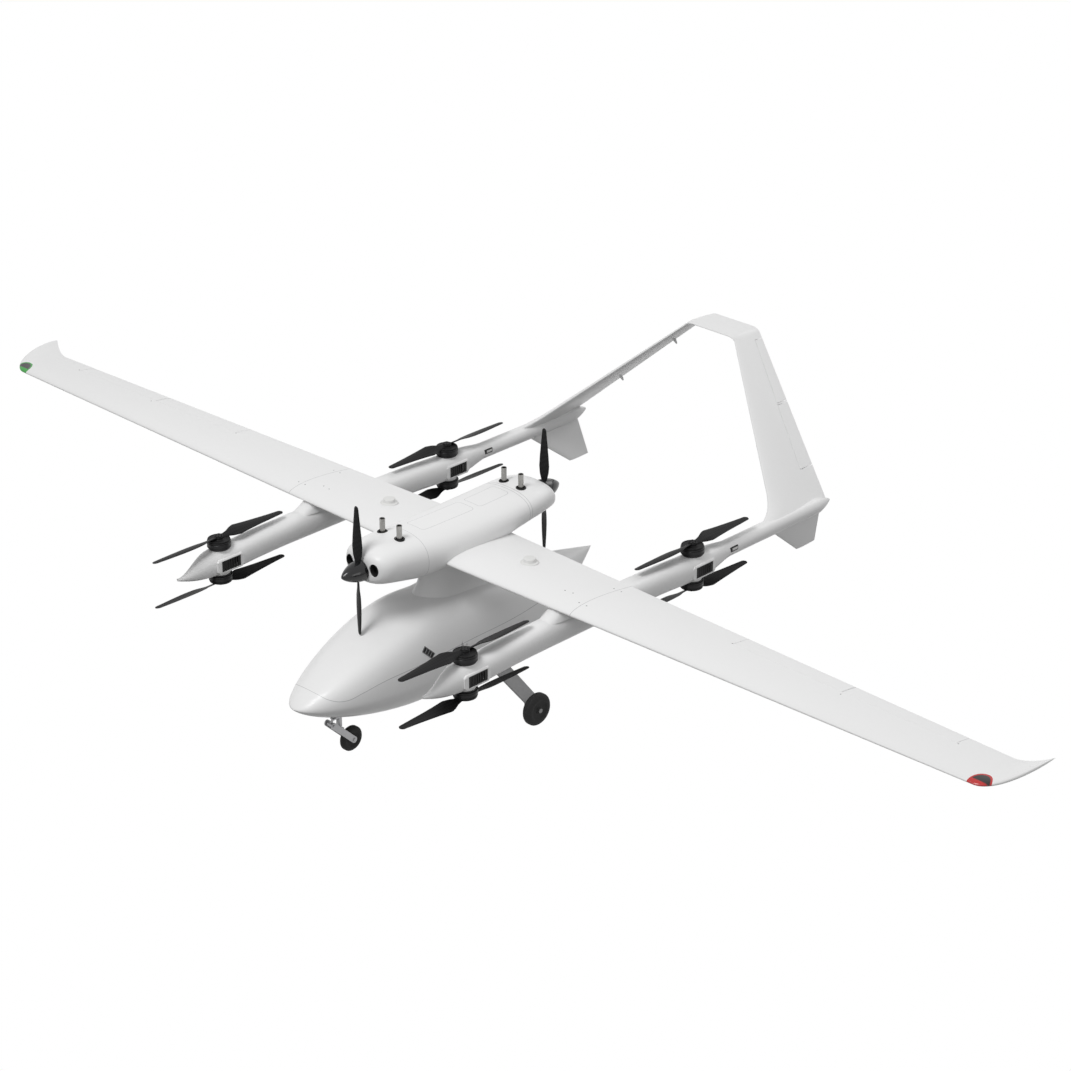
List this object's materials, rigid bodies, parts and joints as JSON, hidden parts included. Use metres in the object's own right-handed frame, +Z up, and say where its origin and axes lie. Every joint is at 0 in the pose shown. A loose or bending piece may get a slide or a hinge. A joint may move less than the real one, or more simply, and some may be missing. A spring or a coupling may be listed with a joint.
{
  "type": "fixed-wing vertical take-off drone",
  "caption": "Twin-boom fixed-wing drone with coaxial lift propellers on the booms, an engine at each end of the wing-top nacelle, an arched tail and wheeled landing gear.",
  "frame": {"origin": "on the ground under the middle of the footprint", "axes": "+X to port along the span, +Y aft, +Z up; the nose points to -Y"},
  "size_m": [6.272, 3.009, 1.3483],
  "materials": {
    "white_skin": "satin white paint over composite skin",
    "carbon_black": "black lacquered carbon fibre",
    "spinner_black": "polished black",
    "motor_black": "black anodised",
    "exhaust_steel": "heat-stained steel tube",
    "engine_alloy": "bead-blasted casting",
    "red_lens": "clear red plastic",
    "green_lens": "clear green plastic",
    "antenna_white": "smooth matt white",
    "vent_black": "moulded black",
    "leg_grey": "dark grey composite spring",
    "gear_alloy": "grey painted alloy",
    "pin_steel": "plain steel",
    "tyre_black": "matt black rubber and hub",
    "tank_plastic": "translucent white moulding",
    "battery_plastic": "shrink-wrapped pack",
    "avionics_plastic": "black housings"
  },
  "bodies": {
    "airframe": {"fuselage_tub": "white_skin", "fuselage_cover": "white_skin", "pylon": "white_skin", "nacelle_shell": "white_skin", "front_cowl": "white_skin", "rear_cowl": "white_skin", "nacelle_hatches": "white_skin", "exhaust_stacks": "exhaust_steel", "engines": "engine_alloy", "wing_centre_section": "white_skin", "outer_wing_left": "white_skin", "outer_wing_right": "white_skin", "wing_joiner_tube": "carbon_black", "nav_light_left": "red_lens", "nav_light_right": "green_lens", "gps_antennas": "antenna_white", "boom_left": "white_skin", "boom_right": "white_skin", "cooling_vents": "vent_black", "lift_motor_bases": "motor_black", "tail_panel_left": "white_skin", "tail_panel_right": "white_skin", "tail_top_panel": "white_skin", "ventral_fins": "white_skin", "main_gear_leaf": "leg_grey", "pins_and_axles": "pin_steel", "fuel_tank": "tank_plastic", "lift_batteries": "battery_plastic", "avionics": "avionics_plastic"},
    "front_engine_rotor": {"front_spinner": "spinner_black", "front_propeller": "carbon_black"},
    "rear_engine_rotor": {"rear_spinner": "spinner_black", "rear_propeller": "carbon_black"},
    "lift_rotor_front_left_upper": {"motor_bell_front_left_upper": "motor_black", "lift_propeller_front_left_upper": "carbon_black"},
    "lift_rotor_front_left_lower": {"motor_bell_front_left_lower": "motor_black", "lift_propeller_front_left_lower": "carbon_black"},
    "lift_rotor_front_right_upper": {"motor_bell_front_right_upper": "motor_black", "lift_propeller_front_right_upper": "carbon_black"},
    "lift_rotor_front_right_lower": {"motor_bell_front_right_lower": "motor_black", "lift_propeller_front_right_lower": "carbon_black"},
    "lift_rotor_rear_left_upper": {"motor_bell_rear_left_upper": "motor_black", "lift_propeller_rear_left_upper": "carbon_black"},
    "lift_rotor_rear_left_lower": {"motor_bell_rear_left_lower": "motor_black", "lift_propeller_rear_left_lower": "carbon_black"},
    "lift_rotor_rear_right_upper": {"motor_bell_rear_right_upper": "motor_black", "lift_propeller_rear_right_upper": "carbon_black"},
    "lift_rotor_rear_right_lower": {"motor_bell_rear_right_lower": "motor_black", "lift_propeller_rear_right_lower": "carbon_black"},
    "flap_left": {"flap_left": "white_skin"},
    "aileron_left": {"aileron_left": "white_skin"},
    "ruddervator_left": {"ruddervator_left": "white_skin"},
    "flap_right": {"flap_right": "white_skin"},
    "aileron_right": {"aileron_right": "white_skin"},
    "ruddervator_right": {"ruddervator_right": "white_skin"},
    "main_wheel_left": {"main_wheel_left": "tyre_black"},
    "main_wheel_right": {"main_wheel_right": "tyre_black"},
    "nose_leg": {"nose_leg": "gear_alloy"},
    "nose_fork": {"nose_fork": "gear_alloy"},
    "nose_wheel": {"nose_wheel": "tyre_black"}
  },
  "joints": [
    {"name": "front_engine_spin", "type": "hinge", "parent": "airframe", "child": "front_engine_rotor", "pos_m": [0, -0.9975, 0.865], "axis": [0, 1, 0], "continuous": true},
    {"name": "rear_engine_spin", "type": "hinge", "parent": "airframe", "child": "rear_engine_rotor", "pos_m": [0, 0.1745, 0.875], "axis": [0, 1, 0], "continuous": true},
    {"name": "lift_spin_front_left_upper", "type": "hinge", "parent": "airframe", "child": "lift_rotor_front_left_upper", "pos_m": [0.79, -1.1235, 0.811], "axis": [0, 0, 1], "continuous": true},
    {"name": "lift_spin_front_left_lower", "type": "hinge", "parent": "airframe", "child": "lift_rotor_front_left_lower", "pos_m": [0.79, -1.1235, 0.589], "axis": [0, 0, 1], "continuous": true},
    {"name": "lift_spin_front_right_upper", "type": "hinge", "parent": "airframe", "child": "lift_rotor_front_right_upper", "pos_m": [-0.79, -1.1235, 0.811], "axis": [0, 0, 1], "continuous": true},
    {"name": "lift_spin_front_right_lower", "type": "hinge", "parent": "airframe", "child": "lift_rotor_front_right_lower", "pos_m": [-0.79, -1.1235, 0.589], "axis": [0, 0, 1], "continuous": true},
    {"name": "lift_spin_rear_left_upper", "type": "hinge", "parent": "airframe", "child": "lift_rotor_rear_left_upper", "pos_m": [0.79, 0.3165, 0.811], "axis": [0, 0, 1], "continuous": true},
    {"name": "lift_spin_rear_left_lower", "type": "hinge", "parent": "airframe", "child": "lift_rotor_rear_left_lower", "pos_m": [0.79, 0.3165, 0.589], "axis": [0, 0, 1], "continuous": true},
    {"name": "lift_spin_rear_right_upper", "type": "hinge", "parent": "airframe", "child": "lift_rotor_rear_right_upper", "pos_m": [-0.79, 0.3165, 0.811], "axis": [0, 0, 1], "continuous": true},
    {"name": "lift_spin_rear_right_lower", "type": "hinge", "parent": "airframe", "child": "lift_rotor_rear_right_lower", "pos_m": [-0.79, 0.3165, 0.589], "axis": [0, 0, 1], "continuous": true},
    {"name": "flap_left_hinge", "type": "hinge", "parent": "airframe", "child": "flap_left", "pos_m": [1.884, -0.332, 0.82339], "axis": [0.9998, -0.0197, 0], "range_deg": [-30, 0]},
    {"name": "aileron_left_hinge", "type": "hinge", "parent": "airframe", "child": "aileron_left", "pos_m": [2.4735, -0.34361, 0.82339], "axis": [0.9998, -0.0197, 0], "range_deg": [-20, 20]},
    {"name": "ruddervator_left_hinge", "type": "hinge", "parent": "airframe", "child": "ruddervator_left", "pos_m": [0.42543, 1.33142, 1.0714], "axis": [-0.692, 0.3213, 0.6465], "range_deg": [-20, 20]},
    {"name": "flap_right_hinge", "type": "hinge", "parent": "airframe", "child": "flap_right", "pos_m": [-1.884, -0.332, 0.82339], "axis": [0.9998, 0.0197, 0], "range_deg": [-30, 0]},
    {"name": "aileron_right_hinge", "type": "hinge", "parent": "airframe", "child": "aileron_right", "pos_m": [-2.4735, -0.34361, 0.82339], "axis": [0.9998, 0.0197, 0], "range_deg": [-20, 20]},
    {"name": "ruddervator_right_hinge", "type": "hinge", "parent": "airframe", "child": "ruddervator_right", "pos_m": [-0.42543, 1.33142, 1.0714], "axis": [0.692, 0.3213, 0.6465], "range_deg": [-20, 20]},
    {"name": "main_wheel_left_spin", "type": "hinge", "parent": "airframe", "child": "main_wheel_left", "pos_m": [0.432, -0.3225, 0.078], "axis": [1, 0, 0], "continuous": true},
    {"name": "main_wheel_right_spin", "type": "hinge", "parent": "airframe", "child": "main_wheel_right", "pos_m": [-0.432, -0.3225, 0.078], "axis": [1, 0, 0], "continuous": true},
    {"name": "nose_steer", "type": "hinge", "parent": "airframe", "child": "nose_leg", "pos_m": [0, -1.1355, 0.25], "axis": [0, 0, 1], "range_deg": [-25, 25]},
    {"name": "nose_fork_pivot", "type": "hinge", "parent": "nose_leg", "child": "nose_fork", "pos_m": [0, -1.1875, 0.176], "axis": [1, 0, 0], "range_deg": [0, 5], "stiffness_Nm_per_rad": 200, "springref_deg": -10.03},
    {"name": "nose_wheel_spin", "type": "hinge", "parent": "nose_fork", "child": "nose_wheel", "pos_m": [0, -1.0685, 0.0595], "axis": [1, 0, 0], "continuous": true}
  ],
  "couplings": [
    {"joint": "flap_right_hinge", "follows": "flap_left_hinge", "ratio": 1},
    {"joint": "aileron_right_hinge", "follows": "aileron_left_hinge", "ratio": -1}
  ]
}
